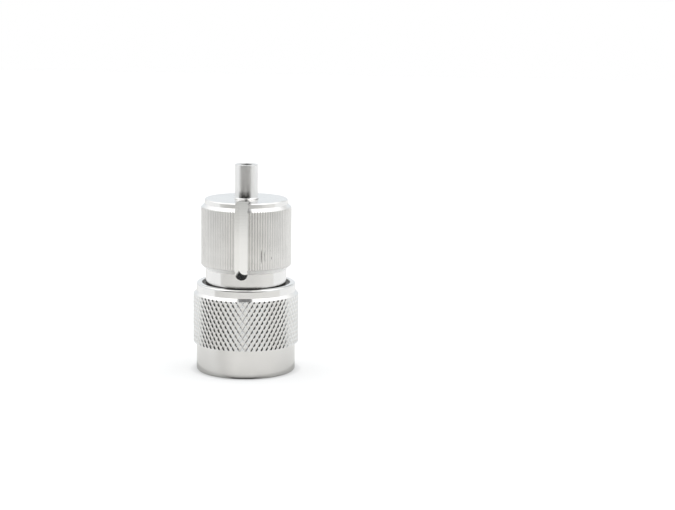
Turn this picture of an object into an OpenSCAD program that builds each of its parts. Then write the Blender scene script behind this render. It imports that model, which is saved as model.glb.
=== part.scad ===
// N type coaxial plug for semi-rigid cable, standing on the mouth of its coupling nut.
// Millimetres. +Z runs from the mouth of the nut to the cable end, and the origin is the
// centre of the mouth. All pieces are turned about Z.

/* [Mating interface] */
// Depth of the outer contact's end inside the mouth of the nut
contact_recess = 3.0; // [2:0.1:4]
// Distance from the outer contact's end back to the gasket
gasket_setback = 9.2; // [8.5:0.1:10]
// Outside diameter of the outer contact
contact_d = 8.1; // [7.8:0.05:8.4]
// Inside diameter of the outer contact
contact_bore = 7.0; // [6.6:0.05:7.2]
// Diameter of the centre pin's tip
tip_d = 1.62; // [1.4:0.02:1.8]
// Diameter of the centre pin behind its tip
pin_d = 3.04; // [2.6:0.02:3.4]
// Depth of the tip inside the outer contact's end
tip_recess = 0.25; // [0:0.05:0.6]
// Depth of the pin's shoulder inside the outer contact's end
shoulder_setback = 5.3; // [4.8:0.1:5.8]

/* [Coupling nut] */
// Radial thickness of the plain skirt and the rear collar round the neck
nut_wall = 1.815; // [1.6:0.005:2]
// Height of the diamond knurl above the skirt
knurl_rise = 0.625; // [0.5:0.005:1]
// Height of the plain skirt below the knurl
skirt_h = 5.75; // [4.5:0.05:7]
// Height of the plain collar above the knurl
collar_h = 1.65; // [1.2:0.05:2.2]
// Chamfer round the outside of the mouth and of the collar
nut_edge = 0.35; // [0.1:0.05:0.5]
// Grooves of each hand in the diamond knurl
knurl_starts = 64; // [48:2:72]
// Angle of the knurl's grooves from the axis, in degrees
knurl_helix = 31; // [26:1:36]
// Depth of the knurl's grooves
knurl_depth = 0.3; // [0.2:0.02:0.4]
// Share of each diamond that stays flat on top
knurl_land = 0.36; // [0.3:0.02:0.7]
// Major diameter of the internal thread
thread_d = 15.875; // [15.5:0.025:16]
// Pitch of the internal thread
thread_pitch = 1.058; // [0.9:0.002:1.2]
// Radial clearance of the lead at the mouth outside the thread
lead_clear = 0.21; // [0.15:0.01:0.4]
// Depth of the clear lead at the mouth
lead_l = 0.8; // [0.4:0.1:1.4]
// Width of the recess round the neck in the collar's end
recess_w = 0.74; // [0.4:0.02:0.9]
// Depth of the recess in the collar's end
recess_l = 0.7; // [0.3:0.05:0.9]
// Thickness of the lip between the retaining ring and the collar's end
lip_l = 1.95; // [1.6:0.05:2.6]

/* [Retaining ring and gasket] */
// Thickness of the retaining ring
ring_t = 1.0; // [0.7:0.05:1.3]
// Height that the retaining ring stands proud of the neck
ring_proud = 0.69; // [0.4:0.01:0.8]
// Radial depth of the ring's groove in the body
ring_groove = 0.95; // [0.6:0.05:1.2]
// Opening between the ends of the ring, in degrees
ring_gap = 24; // [12:1:40]
// Width of body left in front of the ring's groove
front_land = 1.0; // [0.7:0.05:1.5]
// Thickness of the gasket
gasket_t = 1.5; // [1.2:0.05:1.8]
// Radial step from the neck in to the edge of the gasket
gasket_inset = 0.56; // [0.3:0.02:1.2]

/* [Body] */
// Diameter of the neck that the nut turns on
neck_d = 16.12; // [15.9:0.02:16.2]
// Length of the neck that shows above the nut
neck_show = 2.8; // [2.2:0.05:3.6]
// Height of the straight knurl above the neck
grip_rise = 0.94; // [0.74:0.02:1.2]
// Length of the grip with both its chamfers
grip_l = 13.05; // [11:0.05:15]
// Teeth round the straight knurl
grip_teeth = 104; // [84:2:112]
// Depth of the grooves of the straight knurl
grip_depth = 0.2; // [0.1:0.02:0.26]
// Share of each tooth of the straight knurl that stays flat on top
grip_land = 0.3; // [0.1:0.05:0.5]
// Radial step from the straight knurl in to the rear face
face_inset = 0.75; // [0.5:0.01:0.9]
// Length of the plain rim at the rear face
rim_l = 0.95; // [0.6:0.05:1.4]
// Width of the two spanner slots
slot_w = 2.5; // [1.8:0.1:3]
// Distance from the axis to the floor of each slot
slot_floor = 5.0; // [4.9:0.05:6]
// Length that the slots run past the grip into the neck
slot_overrun = 1.15; // [0.6:0.05:1.4]

/* [Cable tube] */
// Outside diameter of the cable tube
tube_d = 4.6; // [4.4:0.05:5.2]
// Bore of the cable tube
tube_bore = 2.26; // [2.2:0.02:2.6]
// Length of the tube behind the rear face
tube_l = 6.8; // [4:0.1:10]
// Chamfered root where the tube leaves the rear face
tube_root = 0.3; // [0.1:0.05:0.6]
// Chamfer at the open end of the tube
tube_edge = 0.1; // [0.05:0.05:0.2]

/* [Inside] */
// Diameter of the outer contact's shank in the body
shank_d = 9.0; // [8.8:0.05:9.4]
// Length of the outer contact's shank
shank_l = 5.0; // [3.5:0.1:5.4]
// Diameter of the outer contact's flange, inside the gasket
flange_d = 10.4; // [9.8:0.1:11]
// Diameter of the two insulators
insulator_d = 7.6; // [7.4:0.05:8]
// Length of the front insulator
front_insulator_l = 4.6; // [4:0.1:5.2]
// Length of the rear insulator
rear_insulator_l = 6.6; // [5.4:0.1:8]
// Diameter of the collar on the centre pin
collar_d = 4.2; // [3.8:0.05:4.6]
// Length of the collar on the centre pin
collar_l = 0.6; // [0.4:0.05:0.8]
// Diameter of the centre pin's tail
tail_d = 1.3; // [1.2:0.05:1.6]
// Bore for the cable's centre conductor
cup_bore = 0.56; // [0.54:0.02:0.7]
// Depth of the bore in the pin's tail
cup_l = 4.0; // [3:0.1:5]

/* [Fits] */
// Radial running clearance of the nut on the neck
nut_clear = 0.08; // [0.04:0.01:0.1]
// Radial clearance of pieces that are set inside each other
seat_clear = 0.02; // [0.01:0.01:0.05]
// Play of the retaining ring in its grooves
ring_play = 0.06; // [0.03:0.01:0.12]

/* [Hidden] */
$fn = 96;

nickel = "silver";
gold = "gold";
ptfe = "ivory";

// Heights above the mouth of the nut
contact_z = contact_recess;
gasket_z = contact_z + gasket_setback;
body_z = gasket_z + gasket_t;
ring_z = body_z + front_land + ring_play;
nut_h = ring_z + ring_t + ring_play + lip_l;
grip_z = nut_h + neck_show;
rim_z = grip_z + grip_l;
face_z = rim_z + rim_l;
tube_z = face_z + tube_l;
shank_z = body_z + shank_l;
insulator_z = gasket_z;
collar_z = insulator_z + front_insulator_l;
cable_stop_z = collar_z + rear_insulator_l;

// The V grooves of an internal thread take five eighths of a sharp V's height
thread_minor_d = thread_d - 2 * 5 / 8 * thread_pitch * cos(30);
lead_d = thread_d + 2 * lead_clear;
nut_bore_d = neck_d + 2 * nut_clear;
nut_d = neck_d + 2 * nut_wall;
nut_knurl_d = nut_d + 2 * knurl_rise;
grip_d = neck_d + 2 * grip_rise;
face_d = grip_d - 2 * face_inset;
gasket_d = neck_d - 2 * gasket_inset;
// Plain length between the thread's end and the gasket
thread_relief = 1.0;
// Radial room round the retaining ring in the nut
ring_room = 0.2;
thread_end_z = gasket_z - thread_relief;
ring_seat_d = neck_d - 2 * ring_groove;
ring_d = neck_d + 2 * ring_proud;
nut_groove_d = ring_d + 2 * ring_room;
recess_d = neck_d + 2 * recess_w;

knurl_z = skirt_h;
knurl_end_z = nut_h - collar_h;
// How far the knurled sleeves are sunk into the turned metal that carries them
knurl_sink = 0.4;
grip_sink = 0.25;
// Smallest step that a turned edge leaves
edge_break = 0.03;

// A ring of the turned section whose corners are given as [radius, height]
module turned(section) {
    rotate_extrude() polygon(section);
}

// A sleeve of straight teeth with flat tops and V grooves, chamfered down to r_low and r_high
// at its ends. Its section is the same all along: a groove and the two edges of a tooth.
module toothed_sleeve(r_top, r_in, depth, teeth, land, r_low, r_high, height) {
    step = 360 / teeth;
    corners = [for (i = [0 : teeth - 1], c = [[0, r_top - depth], [0.5 - land / 2, r_top],
                                              [0.5 + land / 2, r_top]])
        [(i + c[0]) * step, c[1]]];
    n = len(corners);

    function at(r, a, z) = [r * cos(a), r * sin(a), z];
    points = concat(
        [for (c = corners) at(r_in, c[0], 0)],
        [for (c = corners) at(r_low, c[0], 0)],
        [for (c = corners) at(c[1], c[0], c[1] - r_low)],
        [for (c = corners) at(c[1], c[0], height - c[1] + r_high)],
        [for (c = corners) at(r_high, c[0], height)],
        [for (c = corners) at(r_in, c[0], height)]);
    loops = len(points) / n;
    // The last loop joins the first, which closes the bore
    faces = [for (k = [0 : loops - 1], i = [0 : n - 1])
        let (a = k * n + i, b = k * n + (i + 1) % n,
             c = (k + 1) % loops * n + i, d = (k + 1) % loops * n + (i + 1) % n)
        each [[a, c, b], [b, c, d]]];
    polyhedron(points, faces);
}

// A sleeve of flat-topped diamonds between two sets of crossing grooves. The grooves cross
// at nodes that lie in rows, each row half a pitch round from the row below it. Every
// diamond spans two rows, and half diamonds close the first and the last row.
module diamond_sleeve(r_top, r_in, depth, starts, helix, land, height) {
    step = 360 / starts;
    row_h = PI * r_top / starts / tan(helix);
    rows = ceil(height / row_h);

    function at(r, a, row) = [r * cos(a * step), r * sin(a * step), row * row_h];
    // Every node of a row is at column + half of the row's parity
    function col(i, row) = i + (row % 2) / 2;
    function half(x, row) = row == 0 ? max(x, 0) : row == rows ? min(x, 0) : x;

    nodes = [for (row = [0 : rows], i = [0 : starts - 1])
        at(r_top - depth, col(i, row), row)];
    // Flat top of each diamond: its left, lower, right and upper corners
    tops = [for (row = [0 : rows], i = [0 : starts - 1], c = [[-1, 0], [0, -1], [1, 0], [0, 1]])
        at(r_top, col(i, row) + 0.5 + c[0] * land / 2, row + half(c[1] * land, row))];
    walls = [for (row = [0, rows], i = [0 : starts - 1]) at(r_in, col(i, row), row)];

    tops_at = len(nodes);
    walls_at = tops_at + len(tops);
    function node_id(i, row) = row * starts + (i + starts) % starts;
    function top_id(i, row, c) = tops_at + (row * starts + (i + starts) % starts) * 4 + c;
    function wall_id(i, end) = walls_at + end * starts + (i + starts) % starts;
    // Column of the node above or below the middle of a diamond
    function over(i, row) = i + row % 2;
    function quad(a, b, c, d) = [[a, b, c], [a, c, d]];

    facets = [for (row = [0 : rows], i = [0 : starts - 1])
        let (l = node_id(i, row), r = node_id(i + 1, row),
             lo = node_id(over(i, row), row - 1), up = node_id(over(i, row), row + 1),
             tl = top_id(i, row, 0), tb = top_id(i, row, 1),
             tr = top_id(i, row, 2), tt = top_id(i, row, 3))
        each concat(
            row > 0 && row < rows ? quad(tl, tt, tr, tb) : row == 0 ? [[tl, tt, tr]] : [[tl, tr, tb]],
            row > 0 ? concat(quad(l, tl, tb, lo), quad(lo, tb, tr, r)) : [],
            row < rows ? concat(quad(l, up, tt, tl), quad(up, r, tr, tt)) : [])];
    ends = [for (end = [0, 1], i = [0 : starts - 1])
        let (row = end * rows, l = node_id(i, row), r = node_id(i + 1, row),
             tl = top_id(i, row, 0), tr = top_id(i, row, 2),
             wl = wall_id(i, end), wr = wall_id(i + 1, end),
             fan = [[wl, l, tl], [wl, tl, tr], [wl, tr, wr], [wr, tr, r]])
        each end == 0 ? fan : [for (t = fan) [t[0], t[2], t[1]]]];
    inside = [for (i = [0 : starts - 1])
        each [[wall_id(i, 0), wall_id(i + 1, 0), wall_id(i, 1)],
              [wall_id(i + 1, 0), wall_id(i + 1, 1), wall_id(i, 1)]]];

    polyhedron(points = concat(nodes, tops, walls), faces = concat(facets, ends, inside));
}

// Knurled nut: thread at the mouth, then the bore that turns on the neck, with a groove for
// the retaining ring
module coupling_nut() {
    r_out = nut_d / 2;
    r_thread = thread_minor_d / 2;
    r_bore = nut_bore_d / 2;
    r_groove = nut_groove_d / 2;
    lead_in = lead_d / 2 - r_thread;
    groove_z = ring_z - ring_play;
    groove_end_z = ring_z + ring_t + ring_play;
    // The cone of the collar's chamfer, drawn on past the knurl
    over = 1;
    color(nickel) union() {
        turned([[lead_d / 2, 0], [r_out - nut_edge, 0], [r_out, nut_edge],
                [r_out, nut_h - nut_edge], [r_out - nut_edge, nut_h],
                [recess_d / 2, nut_h], [recess_d / 2, nut_h - recess_l],
                [r_bore, nut_h - recess_l], [r_bore, groove_end_z],
                [r_groove, groove_end_z], [r_groove, groove_z],
                [r_bore, groove_z], [r_bore, thread_end_z + r_bore - r_thread],
                [r_thread, thread_end_z], [r_thread, lead_l + lead_in],
                [lead_d / 2, lead_l]]);
        intersection() {
            translate([0, 0, knurl_z])
                diamond_sleeve(nut_knurl_d / 2, r_out - knurl_sink, knurl_depth, knurl_starts,
                               knurl_helix, knurl_land, knurl_end_z + knurl_sink - knurl_z);
            turned([[0, 0], [nut_knurl_d / 2 + over, 0],
                    [nut_knurl_d / 2 + over, knurl_end_z - knurl_rise - over],
                    [r_out - knurl_sink, knurl_end_z + knurl_sink],
                    [0, knurl_end_z + knurl_sink]]);
        }
    }
}

// Split spring ring that keeps the nut on the neck
module retaining_ring() {
    r_in = ring_seat_d / 2 + ring_play;
    color("goldenrod") translate([0, 0, ring_z])
        rotate([0, 0, 90 + ring_gap / 2])
            rotate_extrude(angle = 360 - ring_gap)
                translate([r_in, 0]) square([ring_d / 2 - r_in, ring_t]);
}

// Sealing ring that the mating barrel is screwed down on
module gasket() {
    r_in = flange_d / 2 + seat_clear;
    color("orangered") turned([[r_in, gasket_z], [gasket_d / 2, gasket_z],
                               [gasket_d / 2, body_z], [r_in, body_z]]);
}

// Slot for a spanner, open at the rear face and rounded at its lower end
module spanner_slot() {
    end_z = grip_z - slot_overrun + slot_w / 2;
    reach = grip_d;
    translate([0, -slot_floor, 0]) rotate([90, 0, 0]) linear_extrude(reach) {
        translate([0, end_z]) circle(d = slot_w);
        translate([-slot_w / 2, end_z]) square([slot_w, tube_z - end_z]);
    }
}

// Body with the neck, the knurled grip and the cable tube, turned from one bar
module body() {
    r_neck = neck_d / 2;
    r_seat = ring_seat_d / 2;
    r_shank = shank_d / 2 + seat_clear;
    r_cavity = insulator_d / 2 + seat_clear;
    seat_z = ring_z - ring_play;
    seat_end_z = ring_z + ring_t + ring_play;
    color(nickel) difference() {
        union() {
            turned([[r_shank, body_z], [r_neck, body_z], [r_neck, seat_z], [r_seat, seat_z],
                    [r_seat, seat_end_z], [r_neck, seat_end_z],
                    [r_neck, rim_z - grip_sink], [face_d / 2, rim_z - grip_sink],
                    [face_d / 2, face_z], [tube_d / 2 + tube_root, face_z],
                    [tube_d / 2, face_z + tube_root], [tube_d / 2, tube_z - tube_edge],
                    [tube_d / 2 - tube_edge, tube_z], [tube_bore / 2, tube_z],
                    [tube_bore / 2, cable_stop_z], [r_cavity, cable_stop_z],
                    [r_cavity, shank_z], [r_shank, shank_z]]);
            translate([0, 0, grip_z])
                toothed_sleeve(grip_d / 2, r_neck - grip_sink, grip_depth, grip_teeth, grip_land,
                               r_neck + edge_break, face_d / 2 + edge_break, grip_l);
        }
        for (side = [0, 180]) rotate([0, 0, side]) spanner_slot();
    }
}

// Outer contact: the sleeve that enters the mating jack, a flange that seats the gasket, and
// a shank pressed into the body
module outer_contact() {
    r_cavity = insulator_d / 2 + seat_clear;
    edge = 0.15;
    color(nickel) turned([[contact_bore / 2, contact_z + edge], [contact_bore / 2 + edge, contact_z],
                          [contact_d / 2 - edge, contact_z], [contact_d / 2, contact_z + edge],
                          [contact_d / 2, gasket_z], [flange_d / 2, gasket_z],
                          [flange_d / 2, body_z], [shank_d / 2, body_z],
                          [shank_d / 2, shank_z], [r_cavity, shank_z],
                          [r_cavity, insulator_z], [contact_bore / 2, insulator_z]]);
}

// Front insulator, between the step in the outer contact and the pin's collar
module front_insulator() {
    r_in = pin_d / 2 + seat_clear;
    color(ptfe) turned([[r_in, insulator_z], [insulator_d / 2, insulator_z],
                        [insulator_d / 2, collar_z], [r_in, collar_z]]);
}

// Rear insulator, recessed for the pin's collar and seated at the end of the cable tube
module rear_insulator() {
    r_in = tail_d / 2 + seat_clear;
    r_collar = collar_d / 2 + seat_clear;
    color(ptfe) turned([[r_collar, collar_z], [insulator_d / 2, collar_z],
                        [insulator_d / 2, cable_stop_z], [r_in, cable_stop_z],
                        [r_in, collar_z + collar_l], [r_collar, collar_z + collar_l]]);
}

// Centre pin with a rounded tip, held by its collar between the two insulators
module centre_pin() {
    tip_z = contact_z + tip_recess;
    shoulder_z = contact_z + shoulder_setback;
    tail_z = collar_z + collar_l;
    tip_r = tip_d / 2;
    nose = tip_r / 2;
    shoulder_edge = 0.2;
    color(gold) turned(concat(
        [[0, tip_z], [tip_r - nose, tip_z]],
        [for (a = [15 : 15 : 90]) [tip_r - nose + nose * sin(a), tip_z + nose - nose * cos(a)]],
        [[tip_r, shoulder_z], [pin_d / 2 - shoulder_edge, shoulder_z],
         [pin_d / 2, shoulder_z + shoulder_edge], [pin_d / 2, collar_z],
         [collar_d / 2, collar_z], [collar_d / 2, tail_z], [tail_d / 2, tail_z],
         [tail_d / 2, cable_stop_z], [cup_bore / 2, cable_stop_z],
         [cup_bore / 2, cable_stop_z - cup_l], [0, cable_stop_z - cup_l]]));
}

coupling_nut();
retaining_ring();
gasket();
body();
outer_contact();
front_insulator();
rear_insulator();
centre_pin();
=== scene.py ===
"""N type coaxial plug, standing on the mouth of its coupling nut on a pale table."""

import math

import bmesh
import bpy
from mathutils import Matrix, Vector


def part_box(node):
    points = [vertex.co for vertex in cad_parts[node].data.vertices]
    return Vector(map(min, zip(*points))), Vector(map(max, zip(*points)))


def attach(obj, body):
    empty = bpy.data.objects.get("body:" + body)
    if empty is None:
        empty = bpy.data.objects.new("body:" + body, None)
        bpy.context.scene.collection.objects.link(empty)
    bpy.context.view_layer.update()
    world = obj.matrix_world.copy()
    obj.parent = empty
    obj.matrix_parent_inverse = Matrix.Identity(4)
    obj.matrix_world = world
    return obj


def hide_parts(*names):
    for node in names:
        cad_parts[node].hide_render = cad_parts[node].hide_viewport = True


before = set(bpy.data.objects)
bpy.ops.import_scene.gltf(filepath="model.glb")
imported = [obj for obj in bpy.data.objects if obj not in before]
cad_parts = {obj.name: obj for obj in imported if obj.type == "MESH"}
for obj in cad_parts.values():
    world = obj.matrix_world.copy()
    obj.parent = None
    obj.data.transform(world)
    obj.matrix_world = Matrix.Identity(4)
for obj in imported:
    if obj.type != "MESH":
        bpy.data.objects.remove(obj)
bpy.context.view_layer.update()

# All sizes below are millimetres, and meshes are made in metres from them
MM = 0.001


def span(node):
    """Lowest and highest corner of a node at rest, in millimetres."""
    low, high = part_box(node)
    return Vector(low) / MM, Vector(high) / MM


NUT_HIGH = span("coupling_nut")[1]
BODY_LOW, BODY_HIGH = span("body")
SLEEVE_LOW, SLEEVE_HIGH = span("outer_contact")
GASKET_LOW, GASKET_HIGH = span("gasket")
PIN_LOW, PIN_HIGH = span("centre_pin")
RING_LOW, RING_HIGH = span("retaining_ring")

# Coupling nut: skirt, diamond knurl, collar, and the thread inside
NUT_H = NUT_HIGH.z
KNURL_R = NUT_HIGH.x
NUT_R = KNURL_R - 0.625
NUT_EDGE = 0.35
NUT_TOP_EDGE = 0.38
FINE_EDGE = 0.06
SKIRT_H = 5.75
COLLAR_H = 1.65
KNURL_END = NUT_H - COLLAR_H
KNURL_STARTS = 64
KNURL_HELIX = math.radians(31)
KNURL_DEPTH = 0.142
KNURL_LAND = 0.45
THREAD_R = 15.875 / 2
THREAD_PITCH = 25.4 / 24
THREAD_END = GASKET_LOW.z - 1.0
LEAD_R = THREAD_R + 0.21
LEAD_L = 0.8
NUT_BORE_R = 8.14
RECESS_R = 8.8
RECESS_L = 0.7

# Body: neck, grip, rear face and cable tube
NECK_R = 8.06
GRIP_R = BODY_HIGH.x
GRIP_Z = NUT_H + 2.8
RIM_Z = GRIP_Z + 13.05
FACE_Z = RIM_Z + 0.95
FACE_R = GRIP_R - 0.75
FACE_BREAK = 0.18
GRIP_TEETH = 104
GRIP_DEPTH = 0.2
SLOT_W = 2.5
SLOT_FLOOR = 5.0
SLOT_END = GRIP_Z - 1.15
TUBE_Z = BODY_HIGH.z
TUBE_R = 2.3
TUBE_BORE_R = 1.13
TUBE_ROOT = 0.45
SHANK_R = 4.52
CAVITY_R = 3.82

# Room round the retaining ring: beside it in its two grooves, and outside it in the nut's
RING_PLAY = 0.06
RING_ROOM = 0.2

# Angles of the columns round a plain turned piece
EVEN = [2 * math.pi * column / 256 for column in range(256)]


# ---------------------------------------------------------------- node graphs

class Wire:
    """An output socket of a node graph. Arithmetic on it adds Math nodes to the graph."""

    def __init__(self, graph, socket):
        self.graph = graph
        self.socket = socket

    def math(self, operation, *values):
        settings = {"operation": operation}
        return self.graph.node("ShaderNodeMath", settings, dict(enumerate(values)))

    def __add__(self, other):
        return self.math("ADD", self, other)

    __radd__ = __add__

    def __sub__(self, other):
        return self.math("SUBTRACT", self, other)

    def __rsub__(self, other):
        return self.math("SUBTRACT", other, self)

    def __mul__(self, other):
        return self.math("MULTIPLY", self, other)

    __rmul__ = __mul__

    def __truediv__(self, other):
        return self.math("DIVIDE", self, other)

    def __rtruediv__(self, other):
        return self.math("DIVIDE", other, self)

    def __mod__(self, other):
        return self.math("FLOORED_MODULO", self, other)

    def __pow__(self, other):
        return self.math("POWER", self, other)

    def __abs__(self):
        return self.math("ABSOLUTE", self)

    def call(self, operation, *others):
        """A Math node other than plain arithmetic, such as SINE or MAXIMUM."""
        return self.math(operation, self, *others)

    def ease(self, low, high, start=0.0, end=1.0):
        """Goes smoothly from start to end as the value goes from low to high."""
        sockets = {0: self, 1: low, 2: high, 3: start, 4: end}
        return self.graph.node("ShaderNodeMapRange", {"interpolation_type": "SMOOTHSTEP"}, sockets)

    def fall(self, low, high):
        """Goes smoothly from 1 to 0 as the value goes from low to high."""
        return self.ease(low, high, 1.0, 0.0)


class Graph:
    """A node tree that is filled by one method."""

    def __init__(self, tree):
        self.tree = tree
        tree.nodes.clear()

    def node(self, kind, settings=None, sockets=None, out=0):
        """Adds a node: its settings first, then the values or links of its sockets."""
        made = self.tree.nodes.new(kind)
        for name, value in (settings or {}).items():
            setattr(made, name, value)
        for key, value in (sockets or {}).items():
            if isinstance(value, Wire):
                self.tree.links.new(value.socket, made.inputs[key])
            else:
                made.inputs[key].default_value = value
        return Wire(self, made.outputs[out]) if len(made.outputs) else None

    def vector(self, x, y, z):
        return self.node("ShaderNodeCombineXYZ", None, {0: x, 1: y, 2: z})

    def axes(self, vector):
        """The three components of a vector."""
        split = self.node("ShaderNodeSeparateXYZ", None, {0: vector})
        return [Wire(self, socket) for socket in split.socket.node.outputs]

    def blend(self, factor, first, second):
        """The first colour where the factor is 0 and the second where it is 1."""
        sockets = {0: factor, 6: first, 7: second}
        return self.node("ShaderNodeMix", {"data_type": "RGBA"}, sockets, 2)

    def noise(self, vector, scale, detail=2.0, roughness=0.5):
        sockets = {"Vector": vector, "Scale": scale, "Detail": detail, "Roughness": roughness}
        return self.node("ShaderNodeTexNoise", None, sockets)

    def to_camera(self):
        """1 for what the camera sees directly, and 0 for what is reflected or lights the rest."""
        return self.node("ShaderNodeLightPath", None, None, 0)


# ---------------------------------------------------------------- meshes

def new_piece(name, vertices, faces):
    """A mesh object whose vertices are given in millimetres."""
    mesh = bpy.data.meshes.new(name)
    mesh.from_pydata([tuple(c * MM for c in v) for v in vertices], [], faces)
    piece = bpy.data.objects.new(name, mesh)
    bpy.context.scene.collection.objects.link(piece)
    return piece


def clean(piece, sharp=30.0):
    """Merges doubles, turns faces outwards, and shades smooth all edges but the sharp ones."""
    work = bmesh.new()
    work.from_mesh(piece.data)
    bmesh.ops.remove_doubles(work, verts=work.verts, dist=1e-3 * MM)
    bmesh.ops.recalc_face_normals(work, faces=work.faces)
    work.to_mesh(piece.data)
    work.free()
    piece.data.shade_smooth()
    piece.data.set_sharp_from_angle(angle=math.radians(sharp))
    return piece


def evaluated(piece):
    """Swaps a piece's mesh for the result of its modifiers, and removes them."""
    graph = bpy.context.evaluated_depsgraph_get()
    mesh = bpy.data.meshes.new_from_object(piece.evaluated_get(graph))
    piece.modifiers.clear()
    piece.data = mesh
    return piece


def combined(piece, other, operation):
    """Joins, cuts or intersects a closed piece with another, which is used up."""
    modifier = piece.modifiers.new("solid", "BOOLEAN")
    modifier.operation = operation
    modifier.object = other
    modifier.solver = "MANIFOLD"
    evaluated(piece)
    bpy.data.objects.remove(other)
    return piece


def rounded(outline, steps=4):
    """Points of an outline whose corners are [radius, height] or [radius, height, fillet]."""
    points = []
    for i, corner in enumerate(outline):
        here = Vector(corner[:2])
        if len(corner) == 2:
            points.append(here)
            continue
        before = Vector(outline[i - 1][:2]) - here
        after = Vector(outline[(i + 1) % len(outline)][:2]) - here
        half = before.angle(after) / 2
        reach = min(corner[2] / math.tan(half), before.length / 3, after.length / 3)
        towards = (before.normalized() + after.normalized()).normalized()
        centre = here + towards * (reach / math.cos(half))
        start = here + before.normalized() * reach - centre
        end = here + after.normalized() * reach - centre
        # A point just outside each end of the arc keeps the flats beside it flat in shading
        edge = min(0.03, reach / 2)
        points.append(here + before.normalized() * (reach + edge))
        for k in range(steps + 1):
            points.append(centre + start.slerp(end, k / steps) * start.length)
        points.append(here + after.normalized() * (reach + edge))
    return points


def turned(name, outline, angles=EVEN, shape=None):
    """A piece turned about Z. shape(radius, height, column) may move the outline's points."""
    points = rounded(outline)
    rows = len(points)
    vertices = []
    for column, angle in enumerate(angles):
        for radius, height in points:
            if shape:
                radius, height = shape(radius, height, column)
            vertices.append((radius * math.cos(angle), radius * math.sin(angle), height))
    faces = []
    for column in range(len(angles)):
        here = column * rows
        there = (column + 1) % len(angles) * rows
        for row in range(rows):
            up = (row + 1) % rows
            faces.append((here + row, there + row, there + up, here + up))
    return clean(new_piece(name, vertices, faces))


# ---------------------------------------------------------------- finishes

class Finish(Graph):
    """A material whose graph ends in one Principled shader."""

    def __init__(self, name):
        self.material = bpy.data.materials.new(name)
        self.material.use_nodes = True
        super().__init__(self.material.node_tree)
        self.place = self.node("ShaderNodeTexCoord", None, None, 3)
        self.x, self.y, self.z = [c / MM for c in self.axes(self.place)]

    def radius(self):
        return (self.x * self.x + self.y * self.y).call("SQRT")

    def shader(self, sockets):
        made = self.node("ShaderNodeBsdfPrincipled", None, sockets)
        self.node("ShaderNodeOutputMaterial", None, {0: made})
        return self.material

    def bump(self, height, depth):
        """A normal from a height of 0 to 1 that stands for depth millimetres."""
        sockets = {"Strength": 1.0, "Distance": depth * MM, "Height": height}
        return self.node("ShaderNodeBump", None, sockets)

    def turning(self, fine):
        """Lines left by the tool on a turned surface, fine lines to the millimetre."""
        radius = self.radius()
        along = (self.z + radius * 0.7) * fine
        around = self.vector(self.x / radius * 0.6, self.y / radius * 0.6, along)
        return self.noise(around, 1.0, 3.0, 0.6)


# Nickel plate: clear and clouded. Then lighter, as painted light, in the milled slots and under the
# grip.
# Dark as painted shade in the nut's recess and in the body's recess and bore, and as a painted dark
# reflection at the base of the tube. And dark for the smears on the grip
NICKEL = (0.81, 0.8, 0.785, 1)
NICKEL_CLOUDED = (0.785, 0.775, 0.76, 1)
NICKEL_PAINTED_LIGHT = (0.95, 0.945, 0.93, 1)
NUT_PAINTED_SHADE = (0.12, 0.115, 0.11, 1)
BODY_PAINTED_DARK = (0.1, 0.098, 0.094, 1)
SMEAR_DARK = (0.09, 0.08, 0.07, 1)

# What fine turned lines do to a highlight: how far it is drawn out, and a quarter turn
BRUSHED = {"Anisotropic": 0.85, "Anisotropic Rotation": 0.25}


def nickel(name, smooth, rough, marks):
    """Bright nickel plate over turned brass. marks is the depth of the tool's lines."""
    finish = Finish(name)
    turning = finish.turning(7.0)
    cloud = finish.noise(finish.place, 320.0, 3.0)
    color = finish.blend(cloud.ease(0.3, 0.75), NICKEL, NICKEL_CLOUDED)
    roughness = cloud.ease(0.3, 0.7, smooth, rough) + turning.ease(0.3, 0.7, 0.0, 0.04)
    return finish, color, roughness, finish.bump(turning, marks)


def recess(finish):
    """1 down in the recess between the nut and the neck."""
    floor = NUT_H - RECESS_L
    return finish.z.ease(floor - 0.3, floor - 0.1) * finish.z.fall(NUT_H - 0.35, NUT_H - 0.05)


def nut_nickel():
    """The nut's plate, with painted shade down in the recess round the neck."""
    finish, color, roughness, normal = nickel("nut_nickel", 0.08, 0.11, 0.002)
    # Painted shade: the plate is darkened down in the recess round the neck
    painted_recess_shade = finish.radius().fall(RECESS_R + 0.02, RECESS_R + 0.05) * recess(finish)
    color = finish.blend(painted_recess_shade * 0.7, color, NUT_PAINTED_SHADE)
    return finish.shader({"Base Color": color, "Metallic": 1.0, **BRUSHED,
                          "Roughness": roughness + painted_recess_shade * 0.15, "Normal": normal})


# Dark smears in the grooves of the grip: angle from the slot in degrees, lowest and highest
# point in millimetres, half width in degrees
SMEARS = [(25.9, 22.6, 25.8, 0.75), (29.9, 23.0, 25.4, 0.55), (39.9, 23.5, 24.2, 0.5)]


def milled(finish):
    """1 on the floors and walls of the spanner slots."""
    half = SLOT_W / 2
    across = abs(finish.x).fall(half + 0.02, half + 0.05)
    cut = abs(finish.y).ease(SLOT_FLOOR - 0.05, SLOT_FLOOR - 0.02)
    floor = abs(finish.y).fall(SLOT_FLOOR + 0.03, SLOT_FLOOR + 0.06)
    walls = finish.z.ease(SLOT_END + 0.8, SLOT_END + 1.0)
    below_face = finish.z.fall(FACE_Z - 0.03, FACE_Z - 0.01)
    return across * cut * floor.call("MAXIMUM", walls) * below_face


def smears(finish):
    """Patchy streaks low in a few grooves of the grip."""
    angle = finish.x.call("ARCTAN2", finish.y * -1) * math.degrees(1)
    patchy = finish.noise(finish.place, 2200.0, 3.0).ease(0.38, 0.6)
    streaks = None
    for place, low, high, half in SMEARS:
        across = abs(angle - place).fall(half * 0.3, half)
        middle = (low + high) / 2
        along = abs(finish.z - middle).fall((high - low) * 0.2, (high - low) * 0.5)
        streak = across * along
        streaks = streak if streaks is None else streaks.call("MAXIMUM", streak)
    return streaks * (patchy * 0.5 + 0.5)


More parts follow.
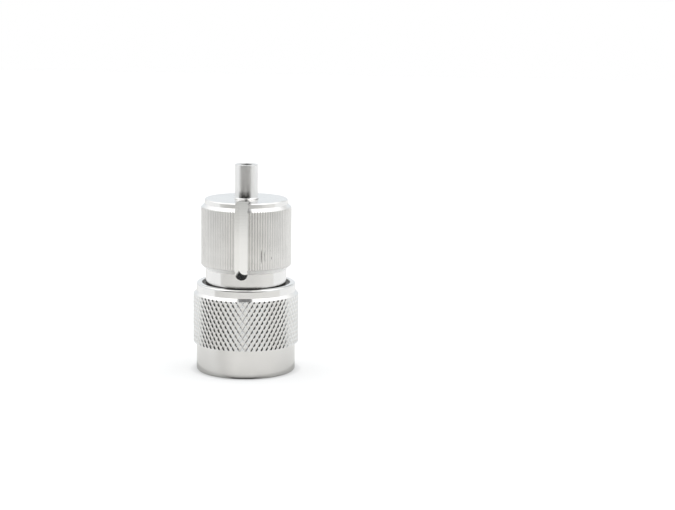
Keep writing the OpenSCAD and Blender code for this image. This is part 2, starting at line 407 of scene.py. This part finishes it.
def painted_shade_and_reflection(finish):
    """How dark the plate is painted: painted shade in the recess and at the top of the tube's bore,
    and a painted dark reflection at the base of the tube.
    """
    # Painted shade just inside the top of the tube's bore
    painted_mouth_shade = (finish.radius().fall(TUBE_BORE_R + 0.02, TUBE_BORE_R + 0.04)
             * finish.z.fall(TUBE_Z - 0.2, TUBE_Z - 0.05))
    patchy = finish.noise(finish.place, 2600.0, 3.0).ease(0.35, 0.65)
    # Painted dark reflection in a stripe at the base of the tube, in front and behind
    painted_dark_foot = (finish.z.ease(FACE_Z + 0.2, FACE_Z + 0.25)
            * finish.z.fall(FACE_Z + 0.5, FACE_Z + 2.0)
            * abs(finish.x + 0.2).fall(0.85, 1.2) * (0.6 + 0.4 * patchy))
    # Painted shade in the recess and in the bore
    painted_hollow_shade = (recess(finish) * 0.8).call("MAXIMUM", painted_mouth_shade * 0.8)
    return painted_hollow_shade.call("MAXIMUM", painted_dark_foot * 0.93)


def body_nickel():
    """The body's plate: duller on the tube, bright as painted light in the slots and under the
    grip, painted dark in the recess, the bore and at the base of the tube, and smeared low on the
    grip.
    """
    finish, color, roughness, normal = nickel("body_nickel", 0.07, 0.1, 0.002)
    tube = finish.z.ease(FACE_Z + 0.3, FACE_Z + 0.35)
    below_rim = finish.z.fall(RIM_Z + 0.6, RIM_Z + 0.7)
    slots = milled(finish)
    # Painted light: a band at the bottom of the grip, outside the slots, gets the lighter plate
    # colour
    painted_light_under_grip = (finish.z.ease(GRIP_Z, GRIP_Z + 0.05)
                  * finish.z.fall(GRIP_Z + 0.8, GRIP_Z + 0.95) * (1.0 - slots))
    smear = smears(finish)
    # Painted light: the slots' milled faces get the lighter plate colour
    color = finish.blend(slots, color, NICKEL_PAINTED_LIGHT)
    color = finish.blend(painted_light_under_grip, color, NICKEL_PAINTED_LIGHT)
    # Painted shade in the recess and the bore, and a painted dark reflection at the base of the
    # tube
    color = finish.blend(painted_shade_and_reflection(finish), color, BODY_PAINTED_DARK)
    color = finish.blend(smear * 0.85, color, SMEAR_DARK)
    roughness = (roughness + tube * 0.2 + below_rim * 0.03) * (1.0 - slots * 0.5)
    roughness = roughness + painted_light_under_grip * 0.45
    return finish.shader({"Base Color": color, "Metallic": 1.0 - smear * 0.7, **BRUSHED,
                          "Roughness": roughness + smear * 0.3, "Normal": normal})


def contact_nickel():
    """Plain nickel on the sleeve inside, rougher than on the nut and the body."""
    finish, color, roughness, normal = nickel("contact_nickel", 0.16, 0.24, 0.003)
    return finish.shader({"Base Color": color, "Metallic": 1.0, "Roughness": roughness,
                          "Normal": normal})


def gold():
    """Thin gold plate on the centre pin, a little redder where it is thinner."""
    finish = Finish("gold")
    turning = finish.turning(9.0)
    cloud = finish.noise(finish.place, 700.0, 3.0)
    color = finish.blend(cloud.ease(0.35, 0.7), (0.95, 0.68, 0.27, 1), (0.86, 0.56, 0.2, 1))
    return finish.shader({"Base Color": color, "Metallic": 1.0,
                          "Roughness": turning.ease(0.3, 0.7, 0.14, 0.24),
                          "Normal": finish.bump(turning, 0.002)})


def spring_bronze():
    """Rolled phosphor bronze, dulled in patches."""
    finish = Finish("spring_bronze")
    cloud = finish.noise(finish.place, 500.0, 4.0)
    color = finish.blend(cloud.ease(0.35, 0.7), (0.72, 0.46, 0.24, 1), (0.52, 0.31, 0.16, 1))
    grain = finish.noise(finish.place, 6000.0, 2.0)
    return finish.shader({"Base Color": color, "Metallic": 1.0,
                          "Roughness": cloud.ease(0.3, 0.7, 0.28, 0.42),
                          "Normal": finish.bump(grain, 0.003)})


def silicone():
    """Moulded red silicone rubber with a fine, slightly dusty grain."""
    finish = Finish("silicone")
    cloud = finish.noise(finish.place, 450.0, 3.0)
    grain = finish.noise(finish.place, 5000.0, 3.0)
    color = finish.blend(cloud.ease(0.35, 0.7), (0.56, 0.085, 0.035, 1), (0.46, 0.06, 0.03, 1))
    return finish.shader({"Base Color": color, "Roughness": grain.ease(0.3, 0.7, 0.42, 0.6),
                          "Subsurface Weight": 0.15, "Subsurface Scale": 0.0006,
                          "Subsurface Radius": (1.0, 0.3, 0.15),
                          "Normal": finish.bump(grain, 0.006)})


def ptfe():
    """Machined white PTFE, waxy, with the lathe's lines just showing."""
    finish = Finish("ptfe")
    turning = finish.turning(6.0)
    color = finish.blend(turning.ease(0.3, 0.7), (0.84, 0.84, 0.82, 1), (0.78, 0.78, 0.755, 1))
    return finish.shader({"Base Color": color, "Roughness": turning.ease(0.3, 0.7, 0.38, 0.5),
                          "Subsurface Weight": 0.25, "Subsurface Scale": 0.001,
                          "Subsurface Radius": (1.0, 1.0, 1.0),
                          "Normal": finish.bump(turning, 0.006)})


# The table as the metal sees it, painted light and shade in sectors: their centre on Y in
# millimetres, the middle of the front one in degrees from -Y towards +X, and the colours
SECTORS_Y = -8.5
FRONT_TURN = 10.5
BLACK = (0, 0, 0, 1)
BESIDE_FAR = (0.95, 0.95, 0.95, 1)
BESIDE_NEAR = (0.8, 0.795, 0.78, 1)
IN_FRONT = (0.825, 0.815, 0.795, 1)
FAR_IN_FRONT = (0.37, 0.37, 0.36, 1)

# The table as the camera sees it: its colour, and its glow that makes up to white
TABLE_COLOR = (0.6, 0.6, 0.6, 1)
TABLE_GLOW = (0.42, 0.42, 0.42, 1)


def table_in_metal(finish):
    """The table's colour in reflections, painted light and shade: bright beside the plug, duller in
    front and behind.
    """
    turn = finish.x.call("ARCTAN2", (finish.y - SECTORS_Y) * -1) * math.degrees(1)
    off_front = abs(turn - FRONT_TURN)
    # The sectors' edges, in degrees off the front, are sharper far off than close to the plug
    far = finish.radius().ease(30.0, 90.0)
    beside = off_front.ease(79.5, 85.5) * far + off_front.ease(60.0, 98.0) * (1.0 - far)
    beside = beside * off_front.fall(140.0, 165.0)
    front = finish.blend(finish.y.ease(-290.0, -140.0), FAR_IN_FRONT, IN_FRONT)
    # Painted shade: a little duller towards the left
    left = turn.ease(-70.0, -15.0, 0.16, 0.0) * turn.ease(-140.0, -100.0)
    front = finish.blend(1.0 - left, BLACK, front)
    side = finish.blend(finish.radius().ease(20.0, 70.0), BESIDE_NEAR, BESIDE_FAR)
    # Painted shadow: dark close to the nut, and most of all in front of it
    painted_shadow_near = finish.radius().ease(NUT_R - 0.2, NUT_R + 4.0, 0.15, 1.0)
    painted_shadow_near = painted_shadow_near.call("MAXIMUM", off_front.ease(45.0, 85.0, 0.0, 0.7))
    return finish.blend(painted_shadow_near, BLACK, finish.blend(beside, front, side))


def paper():
    """The table: white to the camera with a painted shadow close to the nut, and painted light and
    shade in sectors to the metal.
    """
    finish = Finish("paper")
    fibre = finish.noise(finish.place, 900.0, 4.0)
    seen = finish.to_camera()
    # Painted shadow: to the camera the table is darker close to the nut
    painted_dark_foot = finish.radius().ease(NUT_R - 0.1, NUT_R + 1.8, 0.8, 1.0)
    color = finish.blend(painted_dark_foot, BLACK, TABLE_COLOR)
    glow = finish.blend(painted_dark_foot, BLACK, TABLE_GLOW)
    return finish.shader({
        "Base Color": finish.blend(seen, table_in_metal(finish), color), "Roughness": 0.9,
        "Specular IOR Level": 0.2, "Normal": finish.bump(fibre, 0.01),
        "Emission Color": finish.blend(seen, BLACK, glow), "Emission Strength": 1.0})


# ---------------------------------------------------------------- coupling nut

def lattice_tree(material):
    """Instances a cell on the rows of a knurl laid out flat, and rolls the sheet up."""
    tree = bpy.data.node_groups.new("knurl lattice", "GeometryNodeTree")
    face = tree.interface
    face.new_socket("Cell", in_out="INPUT", socket_type="NodeSocketGeometry")
    face.new_socket("Starts", in_out="INPUT", socket_type="NodeSocketInt")
    face.new_socket("Rows", in_out="INPUT", socket_type="NodeSocketInt")
    face.new_socket("Radius", in_out="INPUT", socket_type="NodeSocketFloat")
    face.new_socket("Row height", in_out="INPUT", socket_type="NodeSocketFloat")
    face.new_socket("Start height", in_out="INPUT", socket_type="NodeSocketFloat")
    face.new_socket("Knurl", in_out="OUTPUT", socket_type="NodeSocketGeometry")
    graph = Graph(tree)
    given = graph.node("NodeGroupInput")
    cell, starts, rows, radius, row_h, start_z = [
        Wire(graph, socket) for socket in given.socket.node.outputs[:6]]

    index = graph.node("GeometryNodeInputIndex")
    row = (index / starts).call("FLOOR")
    column = index % starts + row % 2 * 0.5
    pitch = 2 * math.pi * radius / starts
    centre = graph.vector(column * pitch, 0.0, start_z + row * row_h)
    points = graph.node("GeometryNodePoints", None, {"Count": starts * rows, "Position": centre})
    laid = graph.node("GeometryNodeInstanceOnPoints", None, {"Points": points, "Instance": cell})
    flat = graph.node("GeometryNodeRealizeInstances", None, {0: laid})

    x, y, z = graph.axes(graph.node("GeometryNodeInputPosition"))
    angle = x / radius
    reach = radius + y
    rolled = graph.vector(reach * angle.call("COSINE"), reach * angle.call("SINE"), z)
    round_ = graph.node("GeometryNodeSetPosition", None, {"Geometry": flat, "Position": rolled})
    merged = graph.node("GeometryNodeMergeByDistance", None,
                        {"Geometry": round_, "Distance": 2e-3 * MM})
    coated = graph.node("GeometryNodeSetMaterial", None, {"Geometry": merged, "Material": material})
    graph.node("NodeGroupOutput", None, {0: coated})
    return tree


def from_tree(piece, tree, values):
    """The plain mesh that a geometry tree makes of a piece, with the tree's inputs by name."""
    modifier = piece.modifiers.new("nodes", "NODES")
    modifier.node_group = tree
    for item in tree.interface.items_tree:
        if item.in_out == "INPUT" and item.name in values:
            modifier[item.identifier] = values[item.name]
    return evaluated(piece)


def knurl_cell(pitch, row_h):
    """One diamond of the knurl, flat: X round the nut, Y outwards, Z up, top at Y = 0."""
    rings = [(1.0, -KNURL_DEPTH), (KNURL_LAND + 0.05, -0.025),
             (KNURL_LAND + 0.01, -0.005), (KNURL_LAND - 0.04, 0.0)]
    outline = [(-0.5, 0), (-0.25, -0.5), (0, -1), (0.25, -0.5),
               (0.5, 0), (0.25, 0.5), (0, 1), (-0.25, 0.5)]
    vertices = [(x * size * pitch, y, z * size * row_h) for size, y in rings for x, z in outline]
    vertices.append((0, 0, 0))
    count = len(outline)
    faces = []
    for ring in range(len(rings) - 1):
        for i in range(count):
            here, there = ring * count + i, ring * count + (i + 1) % count
            faces.append((here, there, there + count, here + count))
    last = (len(rings) - 1) * count
    for i in range(count):
        faces.append((last + i, last + (i + 1) % count, len(vertices) - 1))
    return new_piece("knurl_cell", vertices, faces)


def close_inside(piece, inner):
    """Closes an open sleeve with a wall of the inner radius, its rims first drawn inwards."""
    work = bmesh.new()
    work.from_mesh(piece.data)
    bmesh.ops.remove_doubles(work, verts=work.verts, dist=2e-3 * MM)
    rims = [edge for edge in work.edges if edge.is_boundary]
    drawn = bmesh.ops.extrude_edge_only(work, edges=rims)["geom"]
    for vertex in [part for part in drawn if isinstance(part, bmesh.types.BMVert)]:
        vertex.co.xy = vertex.co.xy.normalized() * inner * MM
    rims = [edge for edge in work.edges if edge.is_boundary]
    bmesh.ops.bridge_loops(work, edges=rims)
    bmesh.ops.recalc_face_normals(work, faces=work.faces)
    work.to_mesh(piece.data)
    work.free()


def diamond_knurl(material):
    """Sleeve of flat-topped diamonds between crossing grooves, cut to the nut's blank."""
    pitch = 2 * math.pi * KNURL_R / KNURL_STARTS
    row_h = pitch / 2 / math.tan(KNURL_HELIX)
    rows = math.ceil((KNURL_END - SKIRT_H) / row_h) + 3
    sleeve = from_tree(knurl_cell(pitch, row_h), lattice_tree(material), {
        "Starts": KNURL_STARTS, "Rows": rows, "Radius": KNURL_R * MM,
        "Row height": row_h * MM, "Start height": (SKIRT_H - row_h) * MM})
    close_inside(sleeve, NUT_R - 0.5)
    over = 1.0
    sunk = 0.3
    blank = turned("knurl_blank", [
        (NUT_R - sunk, SKIRT_H), (KNURL_R + over, SKIRT_H),
        (KNURL_R + over, KNURL_END - (KNURL_R + over - NUT_R)), (NUT_R - sunk, KNURL_END + sunk)])
    return combined(sleeve, blank, "INTERSECT")


def coupling_nut(material):
    """The nut's turned blank with its edges broken, and the knurl rolled round it."""
    groove_r = RING_HIGH.x + RING_ROOM
    groove_low, groove_high = RING_LOW.z - RING_PLAY, RING_HIGH.z + RING_PLAY
    nut = turned("knurled_nut", [
        (LEAD_R, 0, 0.1), (NUT_R, 0, NUT_EDGE), (NUT_R, NUT_H, NUT_TOP_EDGE),
        (RECESS_R, NUT_H, FINE_EDGE), (RECESS_R, NUT_H - RECESS_L),
        (NUT_BORE_R, NUT_H - RECESS_L, FINE_EDGE), (NUT_BORE_R, groove_high),
        (groove_r, groove_high), (groove_r, groove_low), (NUT_BORE_R, groove_low),
        (NUT_BORE_R, THREAD_END + NUT_BORE_R - THREAD_R), (THREAD_R, THREAD_END),
        (THREAD_R, LEAD_L + LEAD_R - THREAD_R), (LEAD_R, LEAD_L)])
    combined(nut, diamond_knurl(material), "UNION")
    clean(nut, 24)
    nut.data.materials.clear()
    nut.data.materials.append(material)
    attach(nut, "nut")
    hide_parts("coupling_nut")


def thread_tree(material):
    """Sweeps a ridge along a helix up the wall, shrinking it into the wall at both ends."""
    tree = bpy.data.node_groups.new("thread ridge", "GeometryNodeTree")
    face = tree.interface
    face.new_socket("Section", in_out="INPUT", socket_type="NodeSocketGeometry")
    face.new_socket("Turns", in_out="INPUT", socket_type="NodeSocketFloat")
    face.new_socket("Radius", in_out="INPUT", socket_type="NodeSocketFloat")
    face.new_socket("Pitch", in_out="INPUT", socket_type="NodeSocketFloat")
    face.new_socket("Start height", in_out="INPUT", socket_type="NodeSocketFloat")
    face.new_socket("Steps", in_out="INPUT", socket_type="NodeSocketInt")
    face.new_socket("Thread", in_out="OUTPUT", socket_type="NodeSocketGeometry")
    graph = Graph(tree)
    given = graph.node("NodeGroupInput")
    section, turns, radius, pitch, start_z, steps = [
        Wire(graph, socket) for socket in given.socket.node.outputs[:6]]

    points = turns * steps
    line = graph.node("GeometryNodeMeshLine", None, {"Count": points})
    turn = graph.node("GeometryNodeInputIndex") / steps
    angle = turn * (2 * math.pi)
    place = graph.vector(radius * angle.call("COSINE"), radius * angle.call("SINE"),
                         start_z + pitch * turn)
    helix = graph.node("GeometryNodeSetPosition", None, {"Geometry": line, "Position": place})
    curve = graph.node("GeometryNodeMeshToCurve", None, {0: helix})
    level = graph.node("GeometryNodeSetCurveNormal", {"mode": "Z_UP"}, {0: curve})
    run_out = 0.35
    size = turn.ease(0.0, run_out, 0.02, 1.0) * (turns - turn).ease(0.0, run_out, 0.02, 1.0)
    profile = graph.node("GeometryNodeMeshToCurve", None, {0: section})
    swept = graph.node("GeometryNodeCurveToMesh", None, {
        "Curve": level, "Profile Curve": profile, "Scale": size, "Fill Caps": True})
    real = graph.node("GeometryNodeRealizeInstances", None, {0: swept})
    coated = graph.node("GeometryNodeSetMaterial", None, {"Geometry": real, "Material": material})
    graph.node("NodeGroupOutput", None, {0: coated})
    return tree


def coupling_thread(material):
    """The ridges of the nut's internal thread, on the wall at the thread's major diameter."""
    sink = 0.15
    crest_in = 5 / 8 * THREAD_PITCH * math.cos(math.radians(30))
    root_half = 7 / 16 * THREAD_PITCH
    crest_half = THREAD_PITCH / 8
    corners = [(sink, -root_half, 0), (0, -root_half, 0), (-crest_in, -crest_half, 0),
               (-crest_in, crest_half, 0), (0, root_half, 0), (sink, root_half, 0)]
    section = new_piece("coupling_thread", corners, [])
    section.data.edges.add(len(corners))
    for i, edge in enumerate(section.data.edges):
        edge.vertices = (i, (i + 1) % len(corners))
    start = LEAD_L + LEAD_R - THREAD_R + root_half
    thread = from_tree(section, thread_tree(material), {
        "Turns": (THREAD_END - root_half - start) / THREAD_PITCH, "Radius": THREAD_R * MM,
        "Pitch": THREAD_PITCH * MM, "Start height": start * MM, "Steps": 96})
    clean(thread)
    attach(thread, "nut")


# ---------------------------------------------------------------- body

# One tooth of the straight knurl: share of the pitch, and share of the groove's depth
TOOTH = [(0.0, 1.0), (0.06, 0.86), (0.3, 0.12), (0.36, 0.01),
         (0.5, 0.0), (0.64, 0.01), (0.7, 0.12), (0.94, 0.86)]


def grooved(radius, height, column):
    """Sinks the grip's outermost points to a tooth's outline, along the chamfers at its ends."""
    if radius < GRIP_R - 1e-6:
        return radius, height
    depth = GRIP_DEPTH * TOOTH[column % len(TOOTH)][1]
    lift = -depth if height < (GRIP_Z + RIM_Z) / 2 else depth
    return radius - depth, height + lift


def slot_cutter(side):
    """A spanner slot's space, open at the rear face and rounded at its lower end."""
    half = SLOT_W / 2
    steps = 24
    outline = [(half, FACE_Z + 1), (-half, FACE_Z + 1)]
    for k in range(steps + 1):
        turn = math.pi * k / steps
        outline.append((-half * math.cos(turn), SLOT_END + half - half * math.sin(turn)))
    count = len(outline)
    vertices = [(side * x, side * y, z) for y in (SLOT_FLOOR, GRIP_R + 1) for x, z in outline]
    faces = [tuple(range(count)), tuple(range(count, 2 * count))]
    for i in range(count):
        after = (i + 1) % count
        faces.append((i, after, after + count, i + count))
    return clean(new_piece("slot_cutter", vertices, faces))


def body(material):
    """Neck, toothed grip with two spanner slots, rear face and cable tube, all of one bar."""
    low_r, high_r = NECK_R + 0.03, FACE_R + 0.03
    seat_r = NECK_R - 0.95
    seat_low, seat_high = RING_LOW.z - RING_PLAY, RING_HIGH.z + RING_PLAY
    stop = PIN_HIGH.z
    angles = [2 * math.pi * (tooth + share) / GRIP_TEETH
              for tooth in range(GRIP_TEETH) for share, _ in TOOTH]
    piece = turned("plug_body", [
        (SHANK_R, BODY_LOW.z), (NECK_R, BODY_LOW.z, 0.1), (NECK_R, seat_low), (seat_r, seat_low),
        (seat_r, seat_high), (NECK_R, seat_high), (NECK_R, GRIP_Z), (low_r, GRIP_Z),
        (GRIP_R, GRIP_Z + GRIP_R - low_r), (GRIP_R, RIM_Z - GRIP_R + high_r), (high_r, RIM_Z),
        (FACE_R, RIM_Z), (FACE_R, FACE_Z - FACE_BREAK, 0.04), (FACE_R - FACE_BREAK, FACE_Z, 0.03),
        (TUBE_R, FACE_Z, TUBE_ROOT),
        (TUBE_R, TUBE_Z, 0.09), (TUBE_BORE_R, TUBE_Z, 0.06), (TUBE_BORE_R, stop),
        (CAVITY_R, stop), (CAVITY_R, SLEEVE_HIGH.z), (SHANK_R, SLEEVE_HIGH.z)], angles, grooved)
    for side in (1, -1):
        combined(piece, slot_cutter(side), "DIFFERENCE")
    clean(piece, 35)
    piece.data.materials.clear()
    piece.data.materials.append(material)
    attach(piece, "plug")
    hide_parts("body")


# ---------------------------------------------------------------- inside

def plug_piece(name, node, material, outline):
    """A turned piece inside the plug, which stands for a CAD node."""
    piece = turned(name, outline)
    piece.data.materials.append(material)
    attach(piece, "plug")
    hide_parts(node)


def outer_contact(material):
    """Sleeve that enters the jack, with the flange that seats the gasket and its shank."""
    bore_r, sleeve_r, flange_r = 3.5, 4.05, SLEEVE_HIGH.x
    low, flange, high = SLEEVE_LOW.z, GASKET_LOW.z, SLEEVE_HIGH.z
    plug_piece("contact_sleeve", "outer_contact", material, [
        (bore_r, low, 0.12), (sleeve_r, low, 0.18), (sleeve_r, flange), (flange_r, flange, 0.06),
        (flange_r, GASKET_HIGH.z), (SHANK_R - 0.02, GASKET_HIGH.z), (SHANK_R - 0.02, high),
        (CAVITY_R, high), (CAVITY_R, flange), (bore_r, flange)])


def gasket(material):
    """Flat ring of red silicone with its edges a little rounded by the mould."""
    inner = SLEEVE_HIGH.x + 0.02
    low, high = GASKET_LOW.z, GASKET_HIGH.z
    plug_piece("sealing_gasket", "gasket", material, [
        (inner, low, 0.2), (GASKET_HIGH.x, low, 0.25), (GASKET_HIGH.x, high, 0.25),
        (inner, high, 0.2)])


def centre_pin(material):
    """Gold-plated pin with a rounded tip, a holding collar and a solder cup in its tail."""
    tip_r, pin_r, collar_r, tail_r, cup_r = 0.81, 1.52, PIN_HIGH.x, 0.65, 0.28
    tip, high = PIN_LOW.z, PIN_HIGH.z
    shoulder = SLEEVE_LOW.z + 5.3
    collar_low, collar_high = high - 6.6, high - 6.0
    cup = high - 4.0
    plug_piece("gold_pin", "centre_pin", material, [
        (0, tip), (tip_r, tip, 0.42), (tip_r, shoulder), (pin_r, shoulder, 0.25),
        (pin_r, collar_low), (collar_r, collar_low), (collar_r, collar_high),
        (tail_r, collar_high), (tail_r, high), (cup_r, high), (cup_r, cup), (0, cup)])


def plain_nodes(coats):
    """Gives the hidden solids that are right as they are their own finishes."""
    for node, material in coats.items():
        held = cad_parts[node]
        held.data.materials.clear()
        held.data.materials.append(material)


# ---------------------------------------------------------------- table, light and camera

def table():
    """A flat square table, 1.8 m across, with the plug standing at its middle."""
    side, back, front = 900, 900, -900
    corners = [(-side, front, 0), (side, front, 0), (side, back, 0), (-side, back, 0)]
    floor = new_piece("table", corners, [(0, 1, 2, 3)])
    floor.data.materials.append(paper())


def tent_light(turn, height, hole):
    """Strength of the light from a direction of the tent.

    turn is in degrees off the front and height in degrees up. hole is the cosine of the angle
    from the middle of the hole in the roof.
    """
    walls = height.ease(5.0, 70.0, 0.95, 1.75)
    in_front, behind, above = 0.03, 0.4, 0.12
    front_w, front_h = 55.0, 50.0
    off_front = ((turn / front_w) ** 2.0 + (height / front_h) ** 2.0).call("SQRT")
    light = off_front.ease(0.86, 1.14, in_front, walls)
    back_w, back_h, back_z = 38.0, 26.0, 44.0
    off_back = (((180.0 - turn) / back_w) ** 2.0
                + ((height - back_z) / back_h) ** 2.0).call("SQRT")
    light = light * off_back.ease(0.75, 1.2, behind, 1.0)
    rim, core = math.cos(math.radians(12)), math.cos(math.radians(9))
    return light * hole.ease(rim, core, 1.0, above)


def light_tent():
    """White to the camera. Its pale walls have dark openings in front, behind and overhead."""
    world = bpy.data.worlds.new("light_tent")
    bpy.context.scene.world = world
    world.use_nodes = True
    graph = Graph(world.node_tree)
    x, y, z = graph.axes(graph.node("ShaderNodeTexCoord", None, None, 0))
    degrees = math.degrees(1)
    height = z.call("ARCSINE") * degrees
    turn = abs(x.call("ARCTAN2", y * -1) * degrees + 1.0)
    hole_height = math.radians(77)
    hole = z * math.sin(hole_height) - y * math.cos(hole_height)
    light = tent_light(turn, height, hole)

    seen = graph.to_camera()
    strength = light * (1.0 - seen) + seen
    tint = graph.blend(height.ease(8.0, 30.0), (0.93, 0.97, 1.0, 1), (0.985, 0.995, 1.0, 1))
    color = graph.blend(seen, tint, (1, 1, 1, 1))
    shown = graph.node("ShaderNodeBackground", None, {"Color": color, "Strength": strength})
    graph.node("ShaderNodeOutputWorld", None, {0: shown})


def camera():
    """A long lens a little above the plug, turned so that one slot faces it."""
    aim = Vector((18.225, 1.083, 23.355)) * MM
    distance = 335.95 * MM
    down, roll, yaw = 0.1713, 0.0127, math.radians(3.4)
    ahead = Vector((-math.sin(yaw) * math.cos(down), math.cos(yaw) * math.cos(down),
                    -math.sin(down)))
    level = ahead.cross(Vector((0, 0, 1))).normalized()
    upright = level.cross(ahead)
    right = level * math.cos(roll) + upright * math.sin(roll)
    up = upright * math.cos(roll) - level * math.sin(roll)
    lens = bpy.data.cameras.new("camera")
    lens.sensor_width = 36
    lens.lens = 89.63
    lens.clip_start = 0.01
    holder = bpy.data.objects.new("camera", lens)
    axes = Matrix((right, up, -ahead)).transposed().to_4x4()
    holder.matrix_world = Matrix.Translation(aim - ahead * distance) @ axes
    bpy.context.scene.collection.objects.link(holder)
    bpy.context.scene.camera = holder


camera()
table()
light_tent()
bpy.context.scene.view_settings.view_transform = "Standard"

NUT_FINISH = nut_nickel()
PTFE_FINISH = ptfe()
coupling_nut(NUT_FINISH)
coupling_thread(NUT_FINISH)
body(body_nickel())
outer_contact(contact_nickel())
gasket(silicone())
centre_pin(gold())
plain_nodes({"retaining_ring": spring_bronze(), "front_insulator": PTFE_FINISH,
             "rear_insulator": PTFE_FINISH})
